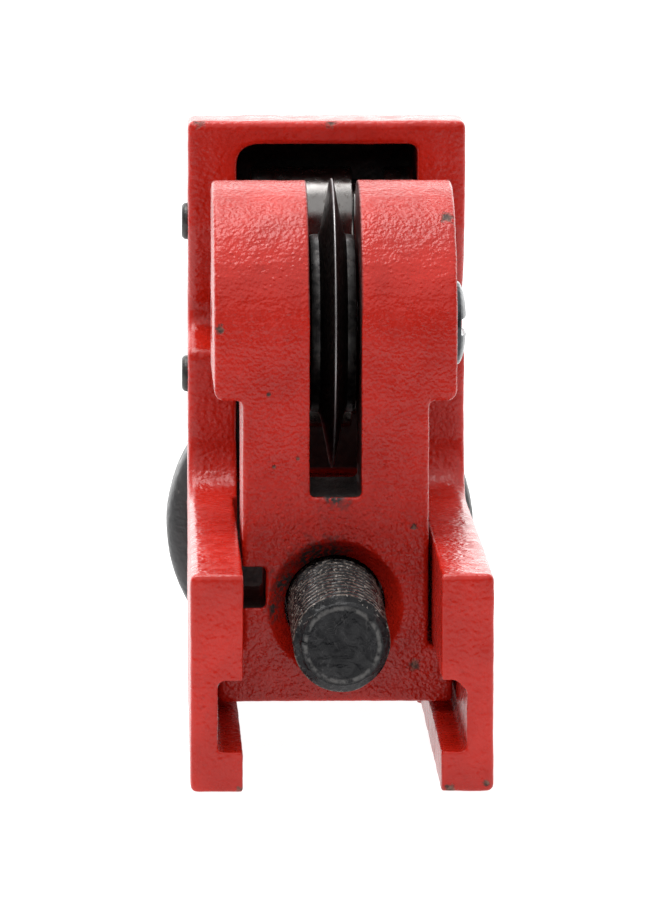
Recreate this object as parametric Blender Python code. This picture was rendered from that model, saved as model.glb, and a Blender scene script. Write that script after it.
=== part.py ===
"""Wheel-type pipe cutter head: a cast frame with two rollers, and a forked slide block
that carries the cutting wheel and is drawn along the frame's rails by a feed screw.

Metres, +Z up. X runs across the head, and Y runs from the open end of the rails to the
handwheel. The origin is under the middle of the head, level with its lowest point.
"""
import math

import bmesh
import bpy
from mathutils import Matrix, Vector

MM = 0.001
GAP = 0.3                     # clearance between two pieces that touch or slide

# Overall layout, in millimetres: distances back from the leg fronts, and up from the feet.
OVERALL_DEPTH = 134.5
HANDWHEEL_RADIUS = 27.3
SCREW_UP = 24.6
FOOT_LIFT = HANDWHEEL_RADIUS - SCREW_UP

# Rails
RAIL_OUTER = 25.0
RAIL_INNER = 16.05
RAIL_TOP = 36.5
GUIDE_END = 80.0
GROOVE_LOW = 7.05
GROOVE_HIGH = 18.6
GROOVE_OUTER = 20.2
GROOVE_CHAMFER_LEFT = 0.5     # on the groove's upper outer corner
GROOVE_CHAMFER_RIGHT = 1.6

# Portal
FRAME_BACK = 112.0
PORTAL_FRONT = 87.0
PORTAL_TOP = 100.8
SIDE_TAPER = 1.2              # each side comes in by this much from the leg fronts to the back
CROWN_RADIUS = 15.5
RAIL_FILLET = 9.0
SEAT_LOW = 60.7               # a V-shaped seat in each cheek leaves room for the pipe
SEAT_DEEP = (96.4, 65.4)
SEAT_HIGH = 81.8
SEAT_ROUND = 3.5
POCKET_INNER = 15.4
POCKET_BACK = 104.0
POCKET_TOP = 96.5
POCKET_REAR_RADIUS = 6.0
POCKET_LEFT_RADIUS = 3.2
POCKET_RIGHT_RADIUS = 1.0
WEB_FRONT = 98.0
WEB_BOTTOM = 7.0
WEB_TOP = 37.0
BOSS_RADIUS = 14.0
BOSS_BACK = 114.0
FRAME_EDGE = 1.1

# Rollers
ROLLER_BACK = 93.0
ROLLER_RADIUS = 9.4
ROLLER_LEFT = -13.2
ROLLER_RIGHT = 15.0
ROLLER_GROOVE_LEFT = 4.4
ROLLER_GROOVE_RIGHT = 9.9
ROLLER_GROOVE_RADIUS = 7.2
ROLLER_OFFSET = 13.3          # above and below the wheel axle
PIN_RADIUS = 3.2
PIN_LEFT = -24.9
PIN_RIGHT = 21.2
SPACER_RADIUS = 6.0
SET_SCREW_X = 19.6
SET_SCREW_RADIUS = 2.5
SET_SCREW_LENGTH = 8.0
SET_SCREW_SOCKET = 1.3
SET_SCREW_SOCKET_DEPTH = 3.0

# Cutting wheel and its axle
WHEEL_BACK = 60.3
WHEEL_UP = 69.4
WHEEL_RADIUS = 24.5
WHEEL_EDGE = 0.06
HUB_RADIUS = 15.0
HUB_HALF = 3.9
BLADE_ROOT_HALF = 2.05
SMALL_CHAMFER = 0.5           # on the hub, the rollers, the axle and the pins
AXLE_RADIUS = 4.0
AXLE_LEFT = -19.9
AXLE_HEAD_RADIUS = 7.15
AXLE_HEAD_HEIGHT = 2.15
AXLE_HEAD_RIM = 0.5
AXLE_SLOT_REACH = 9.0         # past the head's edge both ways
AXLE_SLOT_WIDTH = 2.8
AXLE_SLOT_DEPTH = 1.1

# Slide block
BLOCK_FRONT = 36.0
BLOCK_BACK = 59.0
BLOCK_BOTTOM = 8.5
FLANGE_TOP = 18.2
FLANGE_HALF = 19.8
FLANGE_CHAMFER = 1.8
NECK_HALF = 15.7
NECK_TOP = 59.4
EAR_HALF = 20.4
EAR_RADIUS = 24.3
EAR_BACK = 70.0
EAR_CORNER = 1.8
SLOT_HALF = 4.2
SLOT_FLOOR = 43.4
NOTCH_RIGHT = -11.8
NOTCH_LOW = 24.7
NOTCH_HIGH = 31.4
SINK_RADIUS = 11.2
SINK_DEPTH = 3.0
BLOCK_EDGE = 0.7
REAR_STEP = 51.2              # the block's back is upright below this height

# Feed screw and what holds it
SCREW_FRONT = 0.5
SCREW_RADIUS = 8.0
SCREW_CHAMFER = 1.3
SHOULDER_BACK = 95.6
SHANK_RADIUS = 6.0
BUSH_RADIUS = 8.5
WASHER_RADIUS = 11.0
STUB_RADIUS = 4.0
STUB_FRONT = 125.5
STUB_CHAMFER = 0.6
HUB_FRONT = 116.2
HUB_BACK = 127.0
WHEEL_HUB_RADIUS = 10.0
HUB_CHAMFER = 1.0
DISC_FRONT = 122.5
RIM_INNER = 20.8
RIM_FRONT = 119.0
RIM_BACK = 131.5
RIM_ROUND = 3.0
KEY_HALF = 1.5
KEY_LOW = 4.6
KEY_HIGH = 7.7
KEY_FRONT = 118.0
KEY_BACK = 126.0
FIXING_WASHER_RADIUS = 8.0
NUT_ACROSS_FLATS = 13.0
NUT_FRONT = 129.1
NUT_BACK = 134.1

SEGMENTS = 48
SMOOTH_ANGLE = math.radians(32)


def back(distance):
    """World Y of a plane this many millimetres behind the leg fronts."""
    return (distance - OVERALL_DEPTH / 2) * MM


def up(height):
    """World Z of a plane this many millimetres above the feet."""
    return (height + FOOT_LIFT) * MM


def arc(centre, radius, start, end, steps):
    """Points of an arc in a plane, from one angle to another in degrees, ends included."""
    points = []
    for step in range(steps + 1):
        angle = math.radians(start + (end - start) * step / steps)
        points.append((centre[0] + radius * math.cos(angle), centre[1] + radius * math.sin(angle)))
    return points


def rounded(before, corner, after, radius, steps):
    """Points of the arc that rounds a corner between two straight runs."""
    corner = Vector(corner)
    first = (Vector(before) - corner).normalized()
    second = (Vector(after) - corner).normalized()
    half = first.angle(second) / 2
    centre = corner + (first + second).normalized() * radius / math.sin(half)
    start = corner + first * radius / math.tan(half) - centre
    end = corner + second * radius / math.tan(half) - centre
    sweep = start.angle_signed(end)
    points = []
    for step in range(steps + 1):
        spoke = start.copy()
        spoke.rotate(Matrix.Rotation(-sweep * step / steps, 2))
        points.append(tuple(centre + spoke))
    return points


def make_material(name, colour, roughness, metallic):
    """A Principled BSDF material."""
    material = bpy.data.materials.new(name)
    material.use_nodes = True
    shader = material.node_tree.nodes["Principled BSDF"]
    shader.inputs["Base Color"].default_value = (*colour, 1.0)
    shader.inputs["Roughness"].default_value = roughness
    shader.inputs["Metallic"].default_value = metallic
    material.diffuse_color = (*colour, 1.0)
    return material


def add_object(name, mesh_data, origin, finish):
    """Link a mesh as an object whose origin is at a world point; the mesh is in world space."""
    mesh = bpy.data.meshes.new(name)
    bmesh.ops.recalc_face_normals(mesh_data, faces=mesh_data.faces)
    mesh_data.to_mesh(mesh)
    mesh_data.free()
    mesh.transform(Matrix.Translation(-Vector(origin)))
    mesh.shade_smooth()
    mesh.set_sharp_from_angle(angle=SMOOTH_ANGLE)
    piece = bpy.data.objects.new(name, mesh)
    piece.location = origin
    bpy.context.scene.collection.objects.link(piece)
    if finish:
        mesh.materials.append(make_material(name + "_finish", *finish))
    return piece


def prism(outline, axis, low, high):
    """Extrude a closed outline. Along X it is read as (Y, Z), along Y as (X, Z)."""
    shape = bmesh.new()

    def place(point, level):
        if axis == "X":
            return Vector((level, point[0], point[1]))
        return Vector((point[0], level, point[1]))

    lower = [shape.verts.new(place(point, low)) for point in outline]
    upper = [shape.verts.new(place(point, high)) for point in outline]
    shape.faces.new(lower)
    shape.faces.new(list(reversed(upper)))
    for index in range(len(outline)):
        following = (index + 1) % len(outline)
        shape.faces.new((lower[index], lower[following], upper[following], upper[index]))
    return shape


def box(low, high):
    """A box between two corners."""
    outline = [(low[1], low[2]), (high[1], low[2]), (high[1], high[2]), (low[1], high[2])]
    return prism(outline, "X", low[0], high[0])


def turned(profile, axis, centre, ring=False, steps=SEGMENTS):
    """Turn a profile of (radius, position) round an axis through centre.

    A solid's profile begins and ends on the axis. A ring's profile is a closed loop.
    """
    shape = bmesh.new()

    def place(radius, position, angle):
        across = radius * math.cos(angle)
        lifted = radius * math.sin(angle)
        if axis == "X":
            return Vector((position, centre[1] + across, centre[2] + lifted))
        return Vector((centre[0] + across, position, centre[2] + lifted))

    rings = []
    for radius, position in profile:
        if radius == 0:
            rings.append([shape.verts.new(place(0, position, 0))])
            continue
        circle = [place(radius, position, 2 * math.pi * step / steps) for step in range(steps)]
        rings.append([shape.verts.new(point) for point in circle])
    pairs = list(zip(rings, rings[1:]))
    if ring:
        pairs.append((rings[-1], rings[0]))
    for first, second in pairs:
        for step in range(steps):
            following = (step + 1) % steps
            corners = [first[step % len(first)], first[following % len(first)]]
            corners += [second[following % len(second)], second[step % len(second)]]
            shape.faces.new(list(dict.fromkeys(corners)))
    return shape


def round_bar(radius, low, high, axis, centre, chamfer=0.0, steps=SEGMENTS):
    """A plain bar along an axis, with an optional chamfer at both ends."""
    profile = [(0, low), (radius - chamfer, low)]
    if chamfer:
        profile += [(radius, low + chamfer), (radius, high - chamfer)]
    profile += [(radius - chamfer, high), (0, high)]
    return turned(profile, axis, centre, steps=steps)


def tube(inner, outer, low, high, axis, centre, steps):
    """A plain ring or tube."""
    profile = [(inner, low), (outer, low), (outer, high), (inner, high)]
    return turned(profile, axis, centre, ring=True, steps=steps)


def combine(target, name, tool_mesh, operation="DIFFERENCE"):
    """Cut, join or intersect an object with a hidden tool object."""
    tool = add_object(name, tool_mesh, (0, 0, 0), None)
    tool.hide_render = True
    tool.display_type = "WIRE"
    modifier = target.modifiers.new(name, "BOOLEAN")
    modifier.operation = operation
    modifier.solver = "EXACT"
    modifier.object = tool
    return tool


def round_edges(piece, width, segments=2):
    """Round an object's sharp edges; the width is in millimetres."""
    modifier = piece.modifiers.new("edges", "BEVEL")
    modifier.width = width * MM
    modifier.segments = segments
    modifier.limit_method = "ANGLE"
    modifier.angle_limit = math.radians(40)


SCREW_AXIS = (0.0, back(SCREW_FRONT), up(SCREW_UP))
WHEEL_AXIS = (0.0, back(WHEEL_BACK), up(WHEEL_UP))

RED_PAINT = ((0.50, 0.020, 0.014), 0.35, 0.0)
BLACK_STEEL = ((0.045, 0.042, 0.040), 0.40, 1.0)
GROUND_STEEL = ((0.42, 0.41, 0.40), 0.25, 1.0)
BRONZE = ((0.50, 0.32, 0.12), 0.35, 1.0)
BLACK_PAINT = ((0.018, 0.018, 0.019), 0.40, 0.0)
ZINC = ((0.55, 0.56, 0.58), 0.35, 1.0)


def frame_outline():
    """Side outline of the frame: rail, fillet, cheek with its pipe seat, and crown."""
    fillet = arc((PORTAL_FRONT - RAIL_FILLET, RAIL_TOP + RAIL_FILLET), RAIL_FILLET, -90, 0, 8)
    low = (PORTAL_FRONT, SEAT_LOW)
    high = (PORTAL_FRONT, SEAT_HIGH)
    seat = [low, *rounded(low, SEAT_DEEP, high, SEAT_ROUND, 6), high]
    crown = arc((FRAME_BACK - CROWN_RADIUS, PORTAL_TOP - CROWN_RADIUS), CROWN_RADIUS, 90, 0, 12)
    points = [(0, 0), (0, RAIL_TOP), *fillet, *seat, (PORTAL_FRONT, PORTAL_TOP), *crown]
    points.append((FRAME_BACK, 0))
    return [(back(point[0]), up(point[1])) for point in points]


def taper_sides(shape):
    """Bring the two flat sides towards each other from the leg fronts to the back."""
    for vert in shape.verts:
        share = (vert.co.y - back(0)) / (FRAME_BACK * MM)
        vert.co.x -= math.copysign(SIDE_TAPER * MM * share, vert.co.x)


def inner_space():
    """Side outline of the space between the two sides, which leaves the screw's web."""
    corner = (POCKET_BACK - POCKET_REAR_RADIUS, POCKET_TOP - POCKET_REAR_RADIUS)
    points = [(-2, -2), (-2, POCKET_TOP), *arc(corner, POCKET_REAR_RADIUS, 90, 0, 6)]
    points += [(POCKET_BACK, WEB_TOP), (WEB_FRONT, WEB_TOP), (WEB_FRONT, WEB_BOTTOM)]
    points += [(FRAME_BACK + 2, WEB_BOTTOM), (FRAME_BACK + 2, -2)]
    outline = [(back(point[0]), up(point[1])) for point in points]
    return prism(outline, "X", -(POCKET_INNER + 2) * MM, (POCKET_INNER + 2) * MM)


def inner_mouth():
    """Front outline of that space, which rounds its two top corners."""
    left = (-POCKET_INNER + POCKET_LEFT_RADIUS, POCKET_TOP - POCKET_LEFT_RADIUS)
    right = (POCKET_INNER - POCKET_RIGHT_RADIUS, POCKET_TOP - POCKET_RIGHT_RADIUS)
    points = [(-POCKET_INNER, -4), *arc(left, POCKET_LEFT_RADIUS, 180, 90, 6)]
    points += [*arc(right, POCKET_RIGHT_RADIUS, 90, 0, 3), (POCKET_INNER, -4)]
    outline = [(point[0] * MM, up(point[1])) for point in points]
    return prism(outline, "Y", back(-4), back(FRAME_BACK + 4))


def groove_shape(side):
    """The guide groove in one rail, with its upper outer corner cut off."""
    inner = side * (RAIL_INNER - 1)
    outer = side * GROOVE_OUTER
    chamfer = GROOVE_CHAMFER_LEFT if side < 0 else GROOVE_CHAMFER_RIGHT
    points = [(inner, GROOVE_LOW), (outer, GROOVE_LOW), (outer, GROOVE_HIGH - chamfer)]
    points += [(outer - side * chamfer, GROOVE_HIGH), (inner, GROOVE_HIGH)]
    outline = [(point[0] * MM, up(point[1])) for point in points]
    return prism(outline, "Y", back(-1), back(GUIDE_END))


def make_frame():
    """The cast frame: two grooved rails, a portal over their ends, and the screw's web."""
    shape = prism(frame_outline(), "X", -RAIL_OUTER * MM, RAIL_OUTER * MM)
    taper_sides(shape)
    frame = add_object("frame", shape, (0, 0, 0), RED_PAINT)
    round_edges(frame, FRAME_EDGE)

    space = combine(frame, "inner_space_cutter", inner_space())
    combine(space, "inner_mouth", inner_mouth(), "INTERSECT")
    guide_low = (-RAIL_INNER * MM, back(-2), up(-2))
    guide_high = (RAIL_INNER * MM, back(GUIDE_END), up(RAIL_TOP + 10))
    combine(frame, "guide_cutter", box(guide_low, guide_high))
    for side, label in ((-1, "left"), (1, "right")):
        combine(frame, f"groove_cutter_{label}", groove_shape(side))

    for label, height in roller_heights():
        centre = (0, back(ROLLER_BACK), up(height))
        pin_hole = round_bar((PIN_RADIUS + GAP) * MM, (PIN_LEFT - 2) * MM, (PIN_RIGHT + GAP) * MM,
                             "X", centre, steps=24)
        combine(frame, f"{label}_pin_cutter", pin_hole)
        centre = (SET_SCREW_X * MM, 0, up(height))
        screw_hole = round_bar((SET_SCREW_RADIUS + GAP) * MM, back(ROLLER_BACK),
                               back(FRAME_BACK + 2), "Y", centre, steps=16)
        combine(frame, f"{label}_set_screw_cutter", screw_hole)

    boss = round_bar(BOSS_RADIUS * MM, back(FRAME_BACK - 2), back(BOSS_BACK), "Y", SCREW_AXIS)
    combine(frame, "boss", boss, "UNION")
    bore_radius = (BUSH_RADIUS + GAP) * MM
    bore = round_bar(bore_radius, back(WEB_FRONT - 2), back(BOSS_BACK + 2), "Y", SCREW_AXIS)
    combine(frame, "screw_bore_cutter", bore)


def roller_heights():
    """The two rollers' names and heights above the feet."""
    return (("upper", WHEEL_UP + ROLLER_OFFSET), ("lower", WHEEL_UP - ROLLER_OFFSET))


def make_rollers():
    """Two grooved rollers, their pins, side spacers and the set screws that hold the pins."""
    chamfer = SMALL_CHAMFER
    for label, height in roller_heights():
        centre = (0, back(ROLLER_BACK), up(height))
        inner = PIN_RADIUS + GAP
        profile = [(inner, ROLLER_LEFT), (ROLLER_RADIUS - chamfer, ROLLER_LEFT)]
        profile += [(ROLLER_RADIUS, ROLLER_LEFT + chamfer), (ROLLER_RADIUS, ROLLER_GROOVE_LEFT)]
        profile += [(ROLLER_GROOVE_RADIUS, ROLLER_GROOVE_LEFT)]
        profile += [(ROLLER_GROOVE_RADIUS, ROLLER_GROOVE_RIGHT)]
        profile += [(ROLLER_RADIUS, ROLLER_GROOVE_RIGHT), (ROLLER_RADIUS, ROLLER_RIGHT - chamfer)]
        profile += [(ROLLER_RADIUS - chamfer, ROLLER_RIGHT), (inner, ROLLER_RIGHT)]
        profile = [(radius * MM, position * MM) for radius, position in profile]
        shape = turned(profile, "X", centre, ring=True)
        add_object(f"{label}_roller", shape, centre, GROUND_STEEL)

        pin = round_bar(PIN_RADIUS * MM, PIN_LEFT * MM, PIN_RIGHT * MM, "X", centre,
                        chamfer * MM, 24)
        add_object(f"{label}_roller_pin", pin, centre, BLACK_STEEL)

        spacer = tube(inner * MM, SPACER_RADIUS * MM, (-POCKET_INNER + GAP) * MM,
                      (ROLLER_LEFT - GAP) * MM, "X", centre, steps=24)
        add_object(f"{label}_roller_spacer", spacer, centre, ZINC)
        make_set_screw(label, height)


def make_set_screw(label, height):
    """A socket set screw behind a roller pin."""
    centre = (SET_SCREW_X * MM, 0, up(height))
    low = back(ROLLER_BACK + PIN_RADIUS + GAP)
    high = low + SET_SCREW_LENGTH * MM
    shape = round_bar(SET_SCREW_RADIUS * MM, low, high, "Y", centre,
                      SMALL_CHAMFER * MM, 16)
    screw = add_object(f"{label}_pin_set_screw", shape, (centre[0], low, centre[2]), BLACK_STEEL)
    floor = high - SET_SCREW_SOCKET_DEPTH * MM
    socket = round_bar(SET_SCREW_SOCKET * MM, floor, high + 1 * MM, "Y", centre, steps=6)
    combine(screw, f"{label}_socket_cutter", socket)


def make_cutting_wheel():
    """The cutting wheel: a hub with a blade that tapers to a sharp edge."""
    bore = AXLE_RADIUS + GAP
    chamfer = SMALL_CHAMFER
    half = [(bore, HUB_HALF), (HUB_RADIUS - chamfer, HUB_HALF), (HUB_RADIUS, HUB_HALF - chamfer)]
    half += [(HUB_RADIUS, BLADE_ROOT_HALF), (WHEEL_RADIUS, WHEEL_EDGE / 2)]
    profile = half + [(radius, -position) for radius, position in reversed(half)]
    profile = [(radius * MM, position * MM) for radius, position in profile]
    shape = turned(profile, "X", WHEEL_AXIS, ring=True, steps=64)
    add_object("cutting_wheel", shape, WHEEL_AXIS, BLACK_STEEL)


def make_wheel_axle():
    """The axle screw through the fork, with a slotted domed head on the right."""
    head_base = EAR_HALF + GAP
    chamfer = SMALL_CHAMFER
    profile = [(0, AXLE_LEFT), (AXLE_RADIUS - chamfer, AXLE_LEFT)]
    profile += [(AXLE_RADIUS, AXLE_LEFT + chamfer), (AXLE_RADIUS, head_base)]
    rim = head_base + AXLE_HEAD_RIM
    profile += [(AXLE_HEAD_RADIUS, head_base), (AXLE_HEAD_RADIUS, rim)]
    for step in range(1, 6):
        angle = math.radians(90 * step / 6)
        dome = (AXLE_HEAD_HEIGHT - AXLE_HEAD_RIM) * math.sin(angle)
        profile.append((AXLE_HEAD_RADIUS * math.cos(angle), rim + dome))
    profile.append((0, head_base + AXLE_HEAD_HEIGHT))
    profile = [(radius * MM, position * MM) for radius, position in profile]
    shape = turned(profile, "X", WHEEL_AXIS, steps=32)
    axle = add_object("wheel_axle", shape, WHEEL_AXIS, BLACK_STEEL)
    top = head_base + AXLE_HEAD_HEIGHT
    front = back(WHEEL_BACK - AXLE_SLOT_REACH)
    rear = back(WHEEL_BACK + AXLE_SLOT_REACH)
    low = ((top - AXLE_SLOT_DEPTH) * MM, front, up(WHEEL_UP - AXLE_SLOT_WIDTH / 2))
    high = ((top + 1) * MM, rear, up(WHEEL_UP + AXLE_SLOT_WIDTH / 2))
    combine(axle, "axle_slot_cutter", box(low, high))


def block_front_outline():
    """Front outline of the slide block: flanges, neck and the wider ears."""
    corner = EAR_CORNER
    half = [(FLANGE_HALF, BLOCK_BOTTOM), (FLANGE_HALF, FLANGE_TOP - FLANGE_CHAMFER)]
    half += [(FLANGE_HALF - FLANGE_CHAMFER, FLANGE_TOP), (NECK_HALF, FLANGE_TOP)]
    half.append((NECK_HALF, NECK_TOP))
    half += arc((EAR_HALF - corner, NECK_TOP + corner), corner, -90, 0, 4)
    half.append((EAR_HALF, WHEEL_UP + EAR_RADIUS + 1))
    outline = half + [(-across, height) for across, height in reversed(half)]
    return [(across * MM, up(height)) for across, height in outline]


def block_side_outline():
    """Side outline of the slide block: straight front, round ears cut off behind the wheel."""
    rear_angle = math.degrees(math.acos((EAR_BACK - WHEEL_BACK) / EAR_RADIUS))
    points = [(BLOCK_FRONT, BLOCK_BOTTOM)]
    points += arc((WHEEL_BACK, WHEEL_UP), EAR_RADIUS, 180, rear_angle, 18)
    points += [(EAR_BACK, NECK_TOP), (BLOCK_BACK, REAR_STEP), (BLOCK_BACK, BLOCK_BOTTOM)]
    return [(back(point[0]), up(point[1])) for point in points]


def make_slide_block():
    """The fork block that slides in the rails and carries the cutting wheel."""
    shape = prism(block_front_outline(), "Y", back(BLOCK_FRONT - 2), back(EAR_BACK + 2))
    block = add_object("slide_block", shape, WHEEL_AXIS, RED_PAINT)
    side = prism(block_side_outline(), "X", -30 * MM, 30 * MM)
    combine(block, "block_side", side, "INTERSECT")
    round_edges(block, BLOCK_EDGE)

    slot_low = (-SLOT_HALF * MM, back(BLOCK_FRONT - 2), up(SLOT_FLOOR))
    slot_high = (SLOT_HALF * MM, back(EAR_BACK + 2), up(WHEEL_UP + EAR_RADIUS + 2))
    combine(block, "slot_cutter", box(slot_low, slot_high))
    axle_bore = round_bar((AXLE_RADIUS + GAP) * MM, -30 * MM, 30 * MM, "X", WHEEL_AXIS, steps=32)
    combine(block, "axle_bore_cutter", axle_bore)
    notch_low = (-(NECK_HALF + 1) * MM, back(BLOCK_FRONT - 2), up(NOTCH_LOW))
    notch_high = (NOTCH_RIGHT * MM, back(BLOCK_BACK + 2), up(NOTCH_HIGH))
    combine(block, "side_notch_cutter", box(notch_low, notch_high))
    bore_radius = (SCREW_RADIUS + GAP) * MM
    bore = round_bar(bore_radius, back(BLOCK_FRONT - 2), back(BLOCK_BACK + 2), "Y", SCREW_AXIS)
    combine(block, "screw_thread_cutter", bore)
    sink = [(0, BLOCK_FRONT - 1), (SINK_RADIUS, BLOCK_FRONT - 1), (SINK_RADIUS, BLOCK_FRONT)]
    sink += [(SCREW_RADIUS + GAP + 0.1, BLOCK_FRONT + SINK_DEPTH), (0, BLOCK_FRONT + SINK_DEPTH)]
    sink = [(radius * MM, back(position)) for radius, position in sink]
    combine(block, "countersink_cutter", turned(sink, "Y", SCREW_AXIS))


def make_feed_screw():
    """The feed screw: threaded length, shoulder, plain shank with a keyway, and threaded tail."""
    tip = SCREW_RADIUS - SCREW_CHAMFER
    profile = [(0, SCREW_FRONT), (tip, SCREW_FRONT), (SCREW_RADIUS, SCREW_FRONT + SCREW_CHAMFER)]
    profile += [(SCREW_RADIUS, SHOULDER_BACK), (SHANK_RADIUS, SHOULDER_BACK)]
    profile += [(SHANK_RADIUS, STUB_FRONT), (STUB_RADIUS, STUB_FRONT)]
    end = STUB_RADIUS - STUB_CHAMFER
    profile += [(STUB_RADIUS, OVERALL_DEPTH - STUB_CHAMFER), (end, OVERALL_DEPTH)]
    profile.append((0, OVERALL_DEPTH))
    profile = [(radius * MM, back(position)) for radius, position in profile]
    screw = add_object("feed_screw", turned(profile, "Y", SCREW_AXIS), SCREW_AXIS, BLACK_STEEL)
    combine(screw, "screw_keyway_cutter", key_box(GAP))


def key_box(clearance):
    """The key between the screw's shank and the handwheel, grown by a clearance."""
    half = (KEY_HALF + clearance) * MM
    bottom = up(SCREW_UP + KEY_LOW - clearance)
    top = up(SCREW_UP + KEY_HIGH + clearance)
    return box((-half, back(KEY_FRONT - clearance), bottom), (half, back(KEY_BACK + clearance), top))


def make_screw_bearings():
    """The bush in the web and a thrust washer on each side of it."""
    inner = (SHANK_RADIUS + GAP) * MM
    bush = tube(inner, BUSH_RADIUS * MM, back(WEB_FRONT), back(BOSS_BACK), "Y", SCREW_AXIS,
                steps=32)
    add_object("screw_bush", bush, SCREW_AXIS, BRONZE)
    spans = (("front", SHOULDER_BACK, WEB_FRONT), ("rear", BOSS_BACK, HUB_FRONT))
    for label, low, high in spans:
        washer = tube(inner, WASHER_RADIUS * MM, back(low + GAP), back(high - GAP), "Y",
                      SCREW_AXIS, steps=32)
        add_object(f"{label}_thrust_washer", washer, SCREW_AXIS, ZINC)


def make_handwheel():
    """The handwheel: hub, disc and rounded rim turned in one piece, with a keyway."""
    inner = SHANK_RADIUS + GAP
    outer = HANDWHEEL_RADIUS - RIM_ROUND
    profile = [(inner, HUB_FRONT), (WHEEL_HUB_RADIUS - HUB_CHAMFER, HUB_FRONT)]
    profile += [(WHEEL_HUB_RADIUS, HUB_FRONT + HUB_CHAMFER), (WHEEL_HUB_RADIUS, DISC_FRONT)]
    profile += [(RIM_INNER, DISC_FRONT), (RIM_INNER, RIM_FRONT + HUB_CHAMFER)]
    profile.append((RIM_INNER + HUB_CHAMFER, RIM_FRONT))
    rim = arc((RIM_FRONT + RIM_ROUND, outer), RIM_ROUND, 180, 90, 3)
    rim += arc((RIM_BACK - RIM_ROUND, outer), RIM_ROUND, 90, 0, 3)
    profile += [(radius, position) for position, radius in rim]
    profile += [(RIM_INNER + HUB_CHAMFER, RIM_BACK), (RIM_INNER, RIM_BACK - HUB_CHAMFER)]
    profile.append((RIM_INNER, HUB_BACK))
    profile.append((inner, HUB_BACK))
    profile = [(radius * MM, back(position)) for radius, position in profile]
    shape = turned(profile, "Y", SCREW_AXIS, ring=True, steps=64)
    handwheel = add_object("handwheel", shape, SCREW_AXIS, BLACK_PAINT)
    combine(handwheel, "hub_keyway_cutter", key_box(GAP))
    add_object("handwheel_key", key_box(0), SCREW_AXIS, BLACK_STEEL)


def make_handwheel_fixing():
    """The washer and hexagon nut that hold the handwheel on the screw's tail."""
    inner = (STUB_RADIUS + GAP) * MM
    washer = tube(inner, FIXING_WASHER_RADIUS * MM, back(HUB_BACK + GAP), back(NUT_FRONT - GAP),
                  "Y", SCREW_AXIS, steps=32)
    add_object("handwheel_washer", washer, SCREW_AXIS, ZINC)
    corner = NUT_ACROSS_FLATS / math.sqrt(3) * MM
    nut = round_bar(corner, back(NUT_FRONT), back(NUT_BACK), "Y", SCREW_AXIS, steps=6)
    hexagon = add_object("handwheel_nut", nut, SCREW_AXIS, ZINC)
    bore = round_bar(inner, back(NUT_FRONT - 1), back(NUT_BACK + 1), "Y", SCREW_AXIS, steps=32)
    combine(hexagon, "nut_bore_cutter", bore)


def main():
    """Clear the scene and make every piece of the cutter head."""
    for piece in list(bpy.data.objects):
        bpy.data.objects.remove(piece)
    make_frame()
    make_rollers()
    make_cutting_wheel()
    make_wheel_axle()
    make_slide_block()
    make_feed_screw()
    make_screw_bearings()
    make_handwheel()
    make_handwheel_fixing()


main()
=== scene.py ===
import math

import bmesh
import bpy
from mathutils import Matrix, Vector


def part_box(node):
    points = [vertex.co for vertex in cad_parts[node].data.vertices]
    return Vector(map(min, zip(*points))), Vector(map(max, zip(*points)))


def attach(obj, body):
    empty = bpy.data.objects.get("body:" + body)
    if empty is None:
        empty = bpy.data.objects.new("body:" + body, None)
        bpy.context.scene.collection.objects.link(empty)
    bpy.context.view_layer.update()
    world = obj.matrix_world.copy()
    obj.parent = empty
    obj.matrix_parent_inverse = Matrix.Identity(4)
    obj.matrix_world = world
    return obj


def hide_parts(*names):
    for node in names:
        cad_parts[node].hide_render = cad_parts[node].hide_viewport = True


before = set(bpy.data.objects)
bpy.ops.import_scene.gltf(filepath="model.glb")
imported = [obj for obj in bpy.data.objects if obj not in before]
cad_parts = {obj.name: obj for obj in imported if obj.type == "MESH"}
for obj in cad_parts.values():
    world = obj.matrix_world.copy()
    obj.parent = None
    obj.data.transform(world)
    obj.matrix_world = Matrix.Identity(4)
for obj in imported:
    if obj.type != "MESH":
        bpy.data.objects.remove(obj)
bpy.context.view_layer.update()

MM = 0.001
PER_MM = 1000.0

# All lengths below are in millimetres.
FOOT_LEVEL = 2.7              # the feet's height over the lowest point, the handwheel's rim
LEG_FRONT = -67.25            # the leg fronts' place along Y
PORTAL_FRONT = LEG_FRONT + 87.0
BLOCK_FRONT = LEG_FRONT + 36.0

# Screw thread
THREAD_PITCH = 3.175
THREAD_ROOT = 6.75
THREAD_END = 84.0             # how far behind the leg fronts the thread runs
THREAD_CHAMFER = 1.3
THREAD_STEPS = 96             # corners round the bar
THREAD_ROWS = 12              # rings in one pitch

# Cutting wheel: radius, and distance in from the hub's face or out from the middle
HUB_PROFILE = ((4.3, 0.3), (4.6, 0.0), (14.3, 0.0), (14.85, 0.2), (15.0, 0.6))
BLADE_PROFILE = ((15.05, 2.35), (15.5, 2.0), (20.0, 1.08), (23.9, 0.36), (24.2, 0.2))
EDGE_HALF_WIDTH = 0.06
WHEEL_STEPS = 192

# Rollers
BORE_RADIUS = 3.5
GROOVE_RADIUS = 7.2
GROOVE_SPAN = (4.5, 9.8)
ROLLER_STEPS = 128

# Floor, in metres
FLOOR_HALF = 2.6
FLOOR_SEGMENTS = 24
FLOOR_GAP = 0.00005

# Camera
YAW, PITCH, ROLL = 1.808, 8.768, 0.116                 # degrees
CAMERA_PLACE = (-44.87, -1354.81 + LEG_FRONT, 265.98 + FOOT_LEVEL)
LENS = 337.6
SENSOR = 36.0


def row_y(distance):
    """Y in metres of a plane this many millimetres behind the leg fronts."""
    return (distance + LEG_FRONT) * MM


def centre_of(node):
    """Middle of a node's box."""
    low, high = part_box(node)
    return (Vector(low) + Vector(high)) / 2


# ---------------------------------------------------------------- materials

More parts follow.
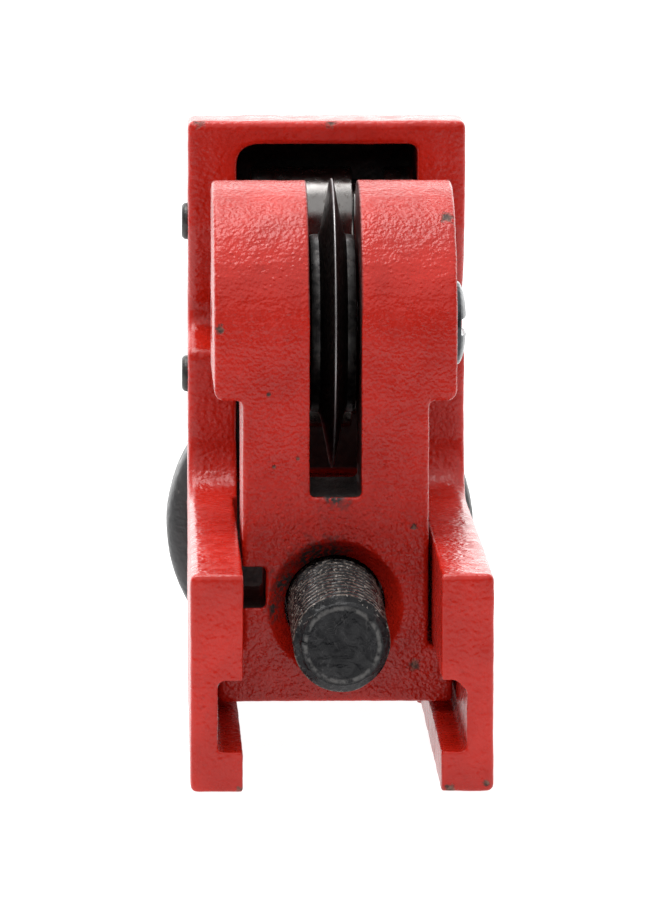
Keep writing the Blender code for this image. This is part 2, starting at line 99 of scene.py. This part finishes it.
class Graph:
    """A material and short ways to add nodes to it."""

    def __init__(self, name):
        self.material = bpy.data.materials.new(name)
        self.material.use_nodes = True
        self.tree = self.material.node_tree
        self.shader = self.tree.nodes["Principled BSDF"]
        coords = self.tree.nodes.new("ShaderNodeTexCoord")
        self.place = coords.outputs["Object"]

    def add(self, kind, inputs=None, **settings):
        """Add a node. Inputs are given by name or number, as a value or another node's output."""
        node = self.tree.nodes.new("ShaderNode" + kind)
        for key, value in settings.items():
            setattr(node, key, value)
        for key, value in (inputs or {}).items():
            if isinstance(value, bpy.types.NodeSocket):
                self.tree.links.new(value, node.inputs[key])
            else:
                node.inputs[key].default_value = value
        return node

    def noise(self, cell, detail=2.0, distortion=0.0, place=None):
        """Noise whose cells are about this many millimetres across, as a 0 to 1 value."""
        node = self.add("TexNoise", {"Vector": place or self.place, "Scale": PER_MM / cell,
                                     "Detail": detail, "Distortion": distortion})
        return node.outputs["Fac"]

    def pits(self, cell):
        """Distance to the nearest of scattered points about this many millimetres apart."""
        node = self.add("TexVoronoi", {"Vector": self.place, "Scale": PER_MM / cell})
        return node.outputs["Distance"]

    def ramp(self, value, low, high, start=0.0, end=1.0):
        """A value's span from low to high stretched onto start to end."""
        inputs = {0: value, 1: low, 2: high, 3: start, 4: end}
        return self.add("MapRange", inputs, clamp=True).outputs[0]

    def sum(self, first, second, operation="ADD"):
        """Two values joined by a maths node."""
        return self.add("Math", {0: first, 1: second}, operation=operation).outputs[0]

    def mix(self, share, first, second):
        """One colour over another."""
        node = self.add("Mix", {0: share, 6: first, 7: second}, data_type="RGBA")
        return node.outputs[2]

    def spot(self, centre, radius, soft=0.35):
        """1 inside a ball with a ragged edge and 0 outside; centre and radius in millimetres."""
        point = tuple(part * MM for part in centre)
        ragged = self.add("VectorMath", {0: self.place, 1: point}, operation="DISTANCE")
        wobble = self.ramp(self.noise(radius * 0.7), 0.3, 0.7, 0.6, 1.4)
        far = self.sum(ragged.outputs["Value"], wobble, "MULTIPLY")
        return self.ramp(far, radius * MM * (1 - soft), radius * MM * (1 + soft), 1.0, 0.0)

    def spots(self, places):
        """The largest of several spots."""
        total = None
        for centre, radius, soft in places:
            one = self.spot(centre, radius, soft)
            total = one if total is None else self.sum(total, one, "MAXIMUM")
        return total

    def band(self, axis, low, high, soft=0.3):
        """1 between two places along an axis and 0 outside; all in millimetres."""
        parts = self.add("SeparateXYZ", {0: self.place})
        value = parts.outputs[axis]
        above = self.ramp(value, (low - soft) * MM, (low + soft) * MM)
        below = self.ramp(value, (high - soft) * MM, (high + soft) * MM, 1.0, 0.0)
        return self.sum(above, below, "MULTIPLY")

    def block(self, spans, soft=0.3):
        """1 inside a box given as axis, low and high for each of its sides, and 0 outside."""
        total = None
        for axis, low, high in spans:
            one = self.band(axis, low, high, soft)
            total = one if total is None else self.sum(total, one, "MULTIPLY")
        return total

    def radius(self, axes, centre):
        """Distance from a line through centre, measured along two axes."""
        parts = self.add("SeparateXYZ", {0: self.place})
        total = None
        for axis in axes:
            off = self.sum(parts.outputs[axis], centre["XYZ".index(axis)], "SUBTRACT")
            square = self.sum(off, off, "MULTIPLY")
            total = square if total is None else self.sum(total, square)
        return self.sum(total, 0.5, "POWER")

    def bump(self, height, distance, normal=None):
        """A bump from a 0 to 1 height; the distance is in millimetres."""
        inputs = {"Height": height, "Distance": distance * MM, "Strength": 1.0}
        if normal:
            inputs["Normal"] = normal
        return self.add("Bump", inputs).outputs["Normal"]

    def finish(self, colour, roughness, normal=None, **steady):
        """Link the shader's inputs; the steady ones are plain numbers."""
        for key, value in (("Base Color", colour), ("Roughness", roughness), ("Normal", normal)):
            if isinstance(value, bpy.types.NodeSocket):
                self.tree.links.new(value, self.shader.inputs[key])
            elif value is not None:
                self.shader.inputs[key].default_value = value
        for key, value in steady.items():
            self.shader.inputs[key.replace("_", " ")].default_value = value
        return self.material


# Marks in the paint, and a painted shade round the screw hole: centre, radius and softness of
# each
CHIPS = [((18.9, -21.0, 91.9), 1.1, 0.3), ((-19.3, -31.2, 74.3), 0.7, 0.3),
         ((-11.2, -31.2, 63.4), 0.35, 0.3), ((-6.3, -31.2, 52.6), 0.3, 0.3),
         ((-10.3, -31.2, 51.2), 0.3, 0.3), ((13.1, -31.2, 41.0), 0.5, 0.3),
         ((13.2, -31.2, 17.6), 0.9, 0.4), ((17.6, -67.2, 3.2), 0.9, 0.4),
         ((23.6, -67.2, 4.4), 0.5, 0.4), ((-16.7, -67.2, 2.9), 0.8, 0.4),
         ((-22.0, 19.8, 103.6), 1.1, 0.4), ((0.6, 19.8, 103.3), 0.9, 0.4)]
PASTE = [((-4.0, -29.0, 35.6), 3.2, 0.5), ((-0.5, -28.6, 36.4), 2.4, 0.5),
         ((-8.0, -29.5, 31.0), 2.6, 0.6), ((-9.8, -30.5, 27.0), 1.6, 0.6),
         ((0.0, -31.0, 46.9), 2.4, 0.4)]
# Painted shade: a darker red round the feed screw's hole.
SHADE = [((0.0, -30.5, 27.3), 11.6, 0.25)]


def dark_pocket_and_web(g):
    """The frame's roller pocket and the front of its web, painted near black: on the web this is
    painted shade over red paint, and the pocket is simply darkened.
    """
    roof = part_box("frame")[1][2] / MM - 4.0
    depth = ("Y", PORTAL_FRONT + 0.9, PORTAL_FRONT + 18.0)
    pocket = g.block((("X", -15.6, 15.6), depth, ("Z", 40.3, roof)))
    depth = ("Y", PORTAL_FRONT + 9.0, PORTAL_FRONT + 12.0)
    web = g.block((("X", -15.7, 15.7), depth, ("Z", 9.0, 39.0)))
    return g.sum(pocket, web, "MAXIMUM")


def dark_slot_and_notch(g):
    """The block's wheel slot and side notch, painted near black: painted shade in these recesses,
    with grease in the slot.
    """
    depth = ("Y", BLOCK_FRONT + 0.7, BLOCK_FRONT + 60)
    slot = g.block((("X", -4.5, 4.5), depth, ("Z", 45.6, 110.0)), 0.25)
    depth = ("Y", BLOCK_FRONT + 0.6, BLOCK_FRONT + 30)
    notch = g.block((("X", -17.0, -11.4), depth, ("Z", 27.0, 34.5)), 0.2)
    return g.sum(slot, notch, "MAXIMUM")


def red_paint(name, cells, relief, dirt_and_shade):
    """Thick gloss red paint over a rough casting, with chips and recesses painted near black;
    where there is dirt, grease and a painted shade round the screw hole.

    Cells are the width of the paint's beads in millimetres, and relief scales their height.
    """
    g = Graph(name)
    cloudy = g.ramp(g.noise(9.0, 4.0), 0.35, 0.65)
    colour = g.mix(cloudy, (0.355, 0.0075, 0.002, 1), (0.44, 0.012, 0.005, 1))
    speckle = g.ramp(g.noise(0.9, 3.0), 0.62, 0.74)
    colour = g.mix(g.sum(speckle, 0.35, "MULTIPLY"), colour, (0.25, 0.006, 0.003, 1))
    roughness = g.ramp(g.noise(2.5, 3.0), 0.3, 0.7, 0.19, 0.33)
    if dirt_and_shade:
        # Painted shade: a patchy darker red round the screw hole.
        screw_hole_shade = g.spots(SHADE)
        film = g.sum(screw_hole_shade, g.ramp(g.noise(1.6, 3.0), 0.35, 0.6, 0.10, 0.45), "MULTIPLY")
        colour = g.mix(film, colour, (0.24, 0.007, 0.004, 1))
        grit = g.sum(g.spots(PASTE), g.ramp(g.noise(0.6, 4.0), 0.38, 0.5), "MULTIPLY")
        colour = g.mix(grit, colour, (0.030, 0.026, 0.024, 1))
        roughness = g.sum(roughness, g.sum(grit, 0.3, "MULTIPLY"))
    chip = g.spots(CHIPS)
    scattered = g.ramp(g.noise(4.3, 6.0), 0.765, 0.78)
    chip = g.sum(chip, scattered, "MAXIMUM")
    flake = g.ramp(g.noise(0.8, 3.0), 0.45, 0.60)
    colour = g.mix(chip, colour, g.mix(flake, (0.045, 0.020, 0.015, 1), (0.16, 0.07, 0.05, 1)))
    roughness = g.sum(roughness, g.sum(chip, 0.35, "MULTIPLY"))

    # Recesses painted near black: painted shade, with grease in the block's slot; the roller
    # pocket is simply darkened.
    dark_recess = dark_slot_and_notch(g) if dirt_and_shade else dark_pocket_and_web(g)
    grease_and_shade_colour = g.mix(g.ramp(g.noise(1.2, 4.0), 0.4, 0.6), (0.012, 0.010, 0.011, 1),
                 (0.030, 0.024, 0.022, 1))
    colour = g.mix(dark_recess, colour, grease_and_shade_colour)
    roughness = g.sum(roughness, g.sum(dark_recess, 0.2, "MULTIPLY"))

    lumps = g.bump(g.noise(cells * 4.0, 2.0), 0.12 * relief)
    peel = g.bump(g.ramp(g.noise(cells, 1.0), 0.3, 0.7), 0.065 * relief, lumps)
    beads = g.bump(g.ramp(g.pits(cells * 1.6), 0.0, 0.40, 1.0, 0.0), 0.075 * relief, peel)
    normal = g.bump(g.sum(chip, -1.0, "MULTIPLY"), 0.12, beads)
    return g.finish(colour, roughness, normal, Specular_IOR_Level=0.34)


def steel(name, dark, light, roughness, metallic, marks=None, marks_depth=0.01, spots=0.0):
    """Steel with a cloudy tint, tool marks along a stretched direction, and stains."""
    g = Graph(name)
    cloudy = g.ramp(g.noise(3.2, 5.0), 0.3, 0.7)
    colour = g.mix(cloudy, (*dark, 1), (*light, 1))
    stain = g.ramp(g.noise(1.1, 5.0), 0.60, 0.68)
    colour = g.mix(g.sum(stain, spots, "MULTIPLY"), colour, (0.045, 0.030, 0.022, 1))
    rough = g.ramp(g.noise(1.4, 4.0), 0.3, 0.7, roughness * 0.7, roughness * 1.35)
    place = g.place
    if marks:
        place = g.add("Mapping", {"Vector": g.place, "Scale": marks}).outputs["Vector"]
    fine = g.noise(0.25, 3.0, place=place)
    normal = g.bump(fine, marks_depth, g.bump(g.noise(1.2, 3.0), marks_depth * 1.5))
    return g.finish(colour, rough, normal, Metallic=metallic)


def greasy_steel(name):
    """Dark steel under wet grease: smeared on the end, gritty and rubbed on the crests."""
    g = Graph(name)
    centre = centre_of("feed_screw")
    film = g.ramp(g.noise(3.2, 5.0, 1.2), 0.42, 0.58)
    colour = g.mix(film, (0.013, 0.013, 0.014, 1), (0.004, 0.004, 0.005, 1))
    wipe = g.sum(g.noise(4.5, 2.0, 2.5), 0.5, "SUBTRACT")
    streak = g.ramp(g.sum(wipe, 0.0, "ABSOLUTE"), 0.0, 0.012, 1.0, 0.0)
    colour = g.mix(g.sum(streak, 0.25, "MULTIPLY"), colour, (0.10, 0.095, 0.095, 1))
    radius = g.radius("XZ", centre)
    lip = g.sum(g.ramp(radius, 5.6 * MM, 5.9 * MM), g.ramp(radius, 6.2 * MM, 6.6 * MM, 1.0, 0.0),
                "MULTIPLY")
    lip = g.sum(lip, g.ramp(g.noise(1.0, 3.0), 0.36, 0.56), "MULTIPLY")
    crest = g.ramp(radius, 7.78 * MM, 7.95 * MM)
    rubbed = g.ramp(g.noise(0.7, 5.0), 0.46, 0.60)
    colour = g.mix(g.sum(crest, rubbed, "MULTIPLY"), colour, (0.12, 0.10, 0.085, 1))
    behind = g.band("Y", LEG_FRONT + 2.0, 200.0, 1.0)
    swarf = g.sum(g.ramp(g.noise(0.5, 4.0), 0.62, 0.66), behind, "MULTIPLY")
    colour = g.mix(g.sum(swarf, 0.7, "MULTIPLY"), colour, (0.32, 0.29, 0.26, 1))
    roughness = g.ramp(g.noise(1.3, 4.0), 0.35, 0.65, 0.18, 0.42)
    front = g.band("Y", LEG_FRONT - 20.0, LEG_FRONT + 1.0, 0.2)
    colour = g.mix(g.sum(lip, front, "MULTIPLY"), colour, (0.075, 0.072, 0.070, 1))
    normal = g.bump(g.noise(0.6, 3.0), 0.05, g.bump(g.noise(3.6, 2.0, 1.5), 0.30))
    return g.finish(colour, roughness, normal, Metallic=0.1, Specular_IOR_Level=0.20)


def blade_steel(name):
    """Dark tool steel: oily flanks with grit, a polished hub rim, and a ground edge."""
    g = Graph(name)
    radius = g.radius("YZ", centre_of("cutting_wheel"))
    rings = g.add("CombineXYZ", {0: radius}).outputs[0]
    turned_marks = g.noise(0.30, 3.0, place=rings)
    grit = g.ramp(g.noise(0.8, 5.0), 0.50, 0.60)
    colour = g.mix(grit, (0.010, 0.009, 0.010, 1), (0.042, 0.034, 0.030, 1))
    hub_rim = g.sum(g.ramp(radius, 14.2 * MM, 14.5 * MM),
                    g.ramp(radius, 15.1 * MM, 15.3 * MM, 1.0, 0.0), "MULTIPLY")
    worn = g.ramp(g.noise(1.6, 3.0), 0.40, 0.62, 0.2, 1.0)
    colour = g.mix(g.sum(hub_rim, worn, "MULTIPLY"), colour, (0.055, 0.053, 0.052, 1))
    edge = g.ramp(radius, 24.15 * MM, 24.35 * MM)
    colour = g.mix(edge, colour, (0.30, 0.29, 0.29, 1))
    roughness = g.sum(g.ramp(g.noise(1.0, 4.0), 0.3, 0.7, 0.26, 0.46),
                      g.ramp(turned_marks, 0.3, 0.7, -0.05, 0.05))
    normal = g.bump(turned_marks, 0.015, g.bump(g.noise(0.7, 4.0), 0.04))
    return g.finish(colour, roughness, normal, Metallic=0.85)


def satin_black(name):
    """Satin black paint on a cast handwheel, rubbed thin in places."""
    g = Graph(name)
    worn = g.ramp(g.noise(2.4, 6.0), 0.66, 0.72)
    colour = g.mix(g.ramp(g.noise(8.0, 3.0), 0.3, 0.7), (0.014, 0.014, 0.015, 1),
                   (0.028, 0.027, 0.028, 1))
    colour = g.mix(g.sum(worn, 0.6, "MULTIPLY"), colour, (0.10, 0.095, 0.09, 1))
    roughness = g.ramp(g.noise(1.5, 4.0), 0.3, 0.7, 0.32, 0.50)
    normal = g.bump(g.ramp(g.noise(0.9, 2.0), 0.3, 0.7), 0.06, g.bump(g.noise(4.0), 0.2))
    return g.finish(colour, roughness, normal)


def floor_white(name):
    """Plain pale floor with a barely seen mottle, which glows as painted light: fully round the
    head and fading towards the front, so that shadows wash out.
    """
    g = Graph(name)
    mottle = g.noise(60.0, 3.0)
    colour = g.mix(mottle, (0.30, 0.30, 0.30, 1), (0.33, 0.33, 0.33, 1))
    # Painted light: the floor's glow, strongest round the head and weaker towards the front.
    glow = g.mix(mottle, (0.97, 0.97, 0.97, 1), (1.0, 1.0, 1.0, 1))
    g.tree.links.new(glow, g.shader.inputs["Emission Color"])
    parts = g.add("SeparateXYZ", {0: g.place})
    near = g.ramp(parts.outputs["Y"], -0.70, -0.15, 0.10, 1.0)
    g.tree.links.new(near, g.shader.inputs["Emission Strength"])
    return g.finish(colour, 0.9, None, Specular_IOR_Level=0.0)


FRAME_PAINT = red_paint("frame_paint", 0.80, 0.55, False)
BLOCK_PAINT = red_paint("block_paint", 0.62, 1.0, True)
BLADE = blade_steel("blade_steel")
BLACK_STEEL = steel("blackened_steel", (0.030, 0.029, 0.028), (0.060, 0.058, 0.056), 0.34, 0.8,
                    spots=0.3)
AXLE_STEEL = steel("axle_steel", (0.020, 0.022, 0.025), (0.055, 0.058, 0.062), 0.22, 0.85,
                   marks_depth=0.006, spots=0.2)
ROLLER_STEEL = steel("roller_steel", (0.15, 0.143, 0.138), (0.20, 0.19, 0.185), 0.22, 1.0,
                     marks=(6.0, 1.0, 1.0), spots=0.5)
ZINC = steel("zinc_plate", (0.48, 0.49, 0.51), (0.62, 0.63, 0.64), 0.30, 1.0, spots=0.35)
BRONZE = steel("oiled_bronze", (0.36, 0.22, 0.08), (0.56, 0.36, 0.15), 0.32, 1.0, spots=0.5)
GREASED = greasy_steel("greased_steel")
HANDWHEEL_PAINT = satin_black("handwheel_paint")
FLOOR_WHITE = floor_white("floor_white")


# ---------------------------------------------------------------- shapes

def add_piece(name, shape, material, body, node=None):
    """Link a bmesh as a smooth piece that rides on a body and stands for a node."""
    mesh = bpy.data.meshes.new(name)
    bmesh.ops.recalc_face_normals(shape, faces=shape.faces)
    shape.to_mesh(mesh)
    shape.free()
    mesh.shade_smooth()
    mesh.set_sharp_from_angle(angle=math.radians(35))
    mesh.materials.append(material)
    piece = bpy.data.objects.new(name, mesh)
    bpy.context.scene.collection.objects.link(piece)
    if body:
        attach(piece, body)
    if node:
        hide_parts(node)
    return piece


def bridge(shape, first, second):
    """Join two rings of equally many corners by a band of faces."""
    steps = len(first)
    for step in range(steps):
        following = (step + 1) % steps
        shape.faces.new((first[step], first[following], second[following], second[step]))


def turned(profile, centre, steps):
    """Turn a closed profile of (radius, X) in millimetres round the X axis through centre."""
    shape = bmesh.new()
    rings = []
    for radius, position in profile:
        ring = []
        for step in range(steps):
            angle = 2 * math.pi * step / steps
            across = centre.y + radius * MM * math.cos(angle)
            lifted = centre.z + radius * MM * math.sin(angle)
            ring.append(shape.verts.new((position * MM, across, lifted)))
        rings.append(ring)
    for first, second in zip(rings, rings[1:] + rings[:1]):
        bridge(shape, first, second)
    return shape


def thread_radius(phase, crest):
    """Radius of the trapezoidal thread at a place along one pitch, 0 to 1."""
    rise = abs(phase % 1.0 - 0.5) * 2
    share = min(1.0, max(0.0, (rise - 0.25) / 0.5))
    return THREAD_ROOT + (crest - THREAD_ROOT) * share


def threaded_bar(centre, start, end, crest):
    """A right-hand threaded bar along Y, with both ends this far behind the leg fronts."""
    shape = bmesh.new()
    count = int((end - start) / THREAD_PITCH * THREAD_ROWS)
    rings = []
    for row in range(count + 1):
        level = start + (end - start) * row / count
        ceiling = crest - max(0.0, THREAD_CHAMFER - (level - start))
        ring = []
        for step in range(THREAD_STEPS):
            turn = step / THREAD_STEPS
            radius = min(ceiling, thread_radius(level / THREAD_PITCH - turn, crest)) * MM
            angle = 2 * math.pi * turn
            across = centre.x + radius * math.sin(angle)
            lifted = centre.z + radius * math.cos(angle)
            ring.append(shape.verts.new((across, row_y(level), lifted)))
        rings.append(ring)
    for first, second in zip(rings, rings[1:]):
        bridge(shape, first, second)
    for ring, level in ((rings[0], start), (rings[-1], end)):
        hub = shape.verts.new((centre.x, row_y(level), centre.z))
        for first, second in zip(ring, ring[1:] + ring[:1]):
            shape.faces.new((first, second, hub))
    return shape


def lump_texture(name, size):
    """Cloud texture whose lumps are about this many millimetres across."""
    texture = bpy.data.textures.new(name, "CLOUDS")
    texture.noise_scale = size * MM
    texture.noise_depth = 2
    return texture


def soften(node, material, voxel, smooth, lumps=()):
    """Round a CAD node's edges as a casting's or forging's are, and give it fine lumps.

    The voxel is in millimetres, smooth counts rounds, and lumps are pairs of size and depth.
    """
    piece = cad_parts[node]
    piece.data.materials.clear()
    piece.data.materials.append(material)
    remesh = piece.modifiers.new("fine_skin", "REMESH")
    remesh.mode = "VOXEL"
    remesh.voxel_size = voxel * MM
    remesh.use_smooth_shade = True
    rounding = piece.modifiers.new("rounding", "SMOOTH")
    rounding.factor = 0.5
    rounding.iterations = smooth
    for index, (size, depth) in enumerate(lumps):
        skin = piece.modifiers.new(f"lumps_{index}", "DISPLACE")
        skin.texture = lump_texture(f"{node}_lumps_{index}", size)
        skin.strength = depth * MM
        skin.mid_level = 1.0
        skin.texture_coords = "LOCAL"


# ---------------------------------------------------------------- pieces

def make_castings():
    """The painted castings: frame, slide block and handwheel."""
    soften("frame", FRAME_PAINT, 0.42, 4, ((7.0, 0.22), (1.6, 0.07)))
    soften("slide_block", BLOCK_PAINT, 0.34, 4, ((6.0, 0.18), (1.5, 0.07)))
    soften("handwheel", HANDWHEEL_PAINT, 0.5, 3, ((6.0, 0.2),))


def make_small_parts():
    """Pins, axle, spacers, washers, key, bush, nut: edges broken and their own finishes."""
    soften("wheel_axle", AXLE_STEEL, 0.14, 3)
    for side in ("upper", "lower"):
        soften(f"{side}_roller_pin", BLACK_STEEL, 0.2, 3)
        soften(f"{side}_roller_spacer", ZINC, 0.2, 2)
        soften(f"{side}_pin_set_screw", BLACK_STEEL, 0.12, 2)
    soften("screw_bush", BRONZE, 0.3, 2)
    soften("front_thrust_washer", ZINC, 0.2, 2)
    soften("rear_thrust_washer", ZINC, 0.2, 2)
    soften("handwheel_key", BLACK_STEEL, 0.15, 2)
    soften("handwheel_washer", ZINC, 0.15, 2)
    soften("handwheel_nut", ZINC, 0.16, 3)


def make_wheel():
    """The cutting wheel with its hub, tapered blade and ground edge."""
    low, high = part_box("cutting_wheel")
    centre = centre_of("cutting_wheel")
    edge = (high[2] - low[2]) / 2 / MM
    half_hub = (high[0] - low[0]) / 2 / MM
    middle = centre.x / MM
    half = [(radius, half_hub - inset) for radius, inset in HUB_PROFILE]
    half += [*BLADE_PROFILE, (edge, EDGE_HALF_WIDTH)]
    profile = [(radius, middle + position) for radius, position in half]
    profile += [(radius, middle - position) for radius, position in reversed(half)]
    shape = turned(profile, centre, WHEEL_STEPS)
    add_piece("cutting_wheel_blade", shape, BLADE, "cutting_wheel", "cutting_wheel")


def make_rollers():
    """The two rollers, each with a groove that lets the blade pass."""
    for side in ("upper", "lower"):
        node = f"{side}_roller"
        low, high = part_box(node)
        centre = centre_of(node)
        left = low[0] / MM
        right = high[0] / MM
        outer = (high[2] - low[2]) / 2 / MM
        middle = sum(GROOVE_SPAN) / 2
        half_groove = (GROOVE_SPAN[1] - GROOVE_SPAN[0]) / 2
        profile = []
        for end, inward in ((left, 1), (right, -1)):
            wall = middle - inward * half_groove
            half = [(BORE_RADIUS, end + inward * 0.3), (BORE_RADIUS + 0.3, end)]
            half += [(outer - 0.7, end), (outer - 0.2, end + inward * 0.2)]
            half += [(outer, end + inward * 0.7), (outer, wall - inward * 0.3)]
            half += [(outer - 0.15, wall - inward * 0.1), (GROOVE_RADIUS + 0.2, wall)]
            half += [(GROOVE_RADIUS, wall + inward * 0.2)]
            profile += half if inward > 0 else reversed(half)
        shape = turned(profile, centre, ROLLER_STEPS)
        add_piece(f"{side}_roller_ground", shape, ROLLER_STEEL, node, node)


def make_screw():
    """The feed screw: its thread, and the shank and tail behind it."""
    low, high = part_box("feed_screw")
    centre = centre_of("feed_screw")
    crest = (high[2] - low[2]) / 2 / MM
    front = low[1] / MM - LEG_FRONT
    shape = threaded_bar(centre, front, THREAD_END, crest)
    add_piece("feed_screw_thread", shape, GREASED, "feed_screw", "feed_screw")

    shank = bmesh.new()
    shank.from_mesh(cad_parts["feed_screw"].data)
    everything = shank.verts[:] + shank.edges[:] + shank.faces[:]
    cut = bmesh.ops.bisect_plane(shank, geom=everything, plane_co=(0, row_y(THREAD_END), 0),
                                 plane_no=(0, 1, 0), clear_inner=True)
    rim = [edge for edge in cut["geom_cut"] if isinstance(edge, bmesh.types.BMEdge)]
    bmesh.ops.holes_fill(shank, edges=rim)
    add_piece("feed_screw_shank", shank, GREASED, "feed_screw", "feed_screw")


make_castings()
make_small_parts()
make_wheel()
make_rollers()
make_screw()


# ---------------------------------------------------------------- floor, light, camera

def make_floor():
    """A wide floor that touches the leg fronts' feet and the handwheel's rim."""
    shape = bmesh.new()
    bmesh.ops.create_grid(shape, x_segments=FLOOR_SEGMENTS, y_segments=FLOOR_SEGMENTS,
                          size=FLOOR_HALF)
    handwheel_low, handwheel_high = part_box("handwheel")
    run = (handwheel_low[1] + handwheel_high[1]) / 2 - LEG_FRONT * MM
    tilt = math.atan2(FOOT_LEVEL * MM, run)
    bmesh.ops.rotate(shape, verts=shape.verts, matrix=Matrix.Rotation(-tilt, 3, "X"))
    drop = FOOT_LEVEL * MM + math.tan(tilt) * LEG_FRONT * MM - FLOOR_GAP
    bmesh.ops.translate(shape, verts=shape.verts, vec=(0, 0, drop))
    floor = add_piece("floor", shape, FLOOR_WHITE, None)


def make_world():
    """White surroundings: a bright dome and back, and dark low down on the camera's side.

    Each span names a direction's axis, where it starts and ends, and its strengths there.
    """
    world = bpy.data.worlds.new("studio")
    world.use_nodes = True
    nodes = world.node_tree.nodes
    links = world.node_tree.links
    coords = nodes.new("ShaderNodeTexCoord")
    parts = nodes.new("ShaderNodeSeparateXYZ")
    links.new(coords.outputs["Generated"], parts.inputs[0])
    total = nodes.new("ShaderNodeMath")
    total.operation = "MAXIMUM"
    spans = (("Z", 0.18, 0.60, 0.03, 1.4), ("Y", -0.1, 0.8, 0.05, 2.5))
    for index, (axis, low, high, start, end) in enumerate(spans):
        part = nodes.new("ShaderNodeMapRange")
        links.new(parts.outputs[axis], part.inputs[0])
        for socket, value in ((1, low), (2, high), (3, start), (4, end)):
            part.inputs[socket].default_value = value
        links.new(part.outputs[0], total.inputs[index])
    links.new(total.outputs[0], nodes["Background"].inputs["Strength"])
    nodes["Background"].inputs["Color"].default_value = (1.0, 1.0, 1.0, 1.0)
    bpy.context.scene.world = world


def add_softbox(name, place, target, size, power):
    """A square area light pointed at a target, in metres and watts."""
    light = bpy.data.lights.new(name, "AREA")
    light.size = size
    light.energy = power
    lamp = bpy.data.objects.new(name, light)
    lamp.location = place
    direction = Vector(target) - Vector(place)
    lamp.rotation_euler = direction.to_track_quat("-Z", "Y").to_euler()
    bpy.context.scene.collection.objects.link(lamp)


def make_lights():
    """A softbox overhead and to the left, and a weak one from the front left."""
    target = (0, 0, 0.05)
    add_softbox("overhead_softbox", (-0.24, 0.08, 0.85), target, 0.60, 7.0)
    add_softbox("front_softbox", (-0.30, -1.10, 0.55), target, 0.5, 0.5)


def make_camera():
    """The camera: 1.36 m in front of the head and a little above it, with a long lens."""
    yaw, pitch, roll = (math.radians(angle) for angle in (YAW, PITCH, ROLL))
    forward = Vector((math.sin(yaw) * math.cos(pitch), math.cos(yaw) * math.cos(pitch),
                      -math.sin(pitch)))
    level = Vector((math.cos(yaw), -math.sin(yaw), 0))
    above = level.cross(forward)
    right = math.cos(roll) * level + math.sin(roll) * above
    upward = math.cos(roll) * above - math.sin(roll) * level
    data = bpy.data.cameras.new("camera")
    data.sensor_width = SENSOR
    data.lens = LENS
    data.clip_start = 0.05
    data.clip_end = 20.0
    camera = bpy.data.objects.new("camera", data)
    turn = Matrix((right, upward, -forward)).transposed().to_4x4()
    camera.matrix_world = Matrix.Translation(Vector(CAMERA_PLACE) * MM) @ turn
    bpy.context.scene.collection.objects.link(camera)
    bpy.context.scene.camera = camera


make_floor()
make_world()
make_lights()
make_camera()
bpy.context.scene.view_settings.view_transform = "Standard"
